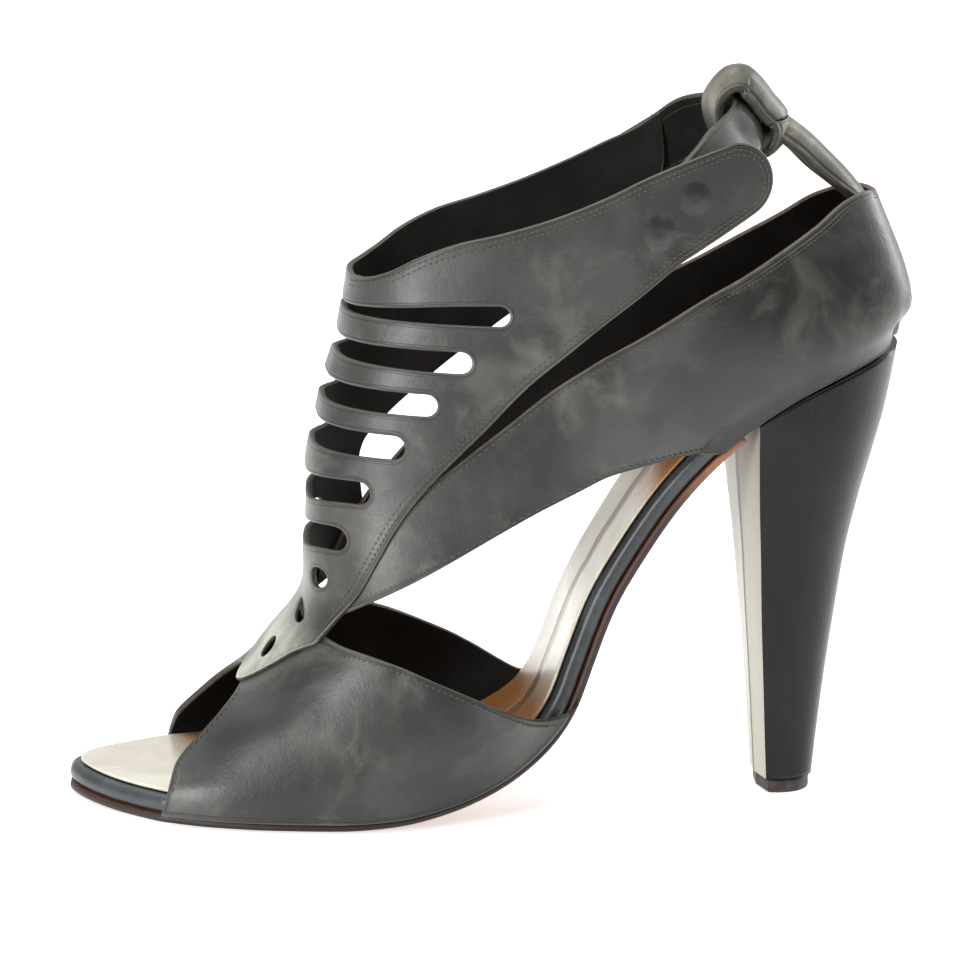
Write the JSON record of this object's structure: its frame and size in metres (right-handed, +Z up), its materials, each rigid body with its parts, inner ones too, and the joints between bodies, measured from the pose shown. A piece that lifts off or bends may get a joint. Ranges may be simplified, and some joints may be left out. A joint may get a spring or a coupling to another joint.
{
  "type": "peep-toe T-strap cage sandal, left, high heel",
  "caption": "Left high-heeled peep-toe sandal in dark leather with a slotted T-strap cage, closed heel and ankle strap through a folded back loop.",
  "frame": {"origin": "middle of the bounding box's base, on the floor that the forefoot tread and the heel tip stand on", "axes": "+X from the toe to the heel, +Y towards the medial (inner) side, +Z up"},
  "size_m": [0.2046, 0.077, 0.1807],
  "materials": {
    "outsole_leather": "matte",
    "rim_leather": "satin",
    "sock_leather": "gloss",
    "upper_leather": "satin",
    "back_strap_leather": "satin",
    "heel_cover": "gloss",
    "tip_rubber": "matte"
  },
  "bodies": {
    "root": {"outsole": "outsole_leather", "insole_board": "rim_leather", "sock_lining": "sock_leather", "upper": "upper_leather", "back_strap": "back_strap_leather", "heel": "heel_cover", "heel_tip": "tip_rubber"}
  },
  "joints": []
}
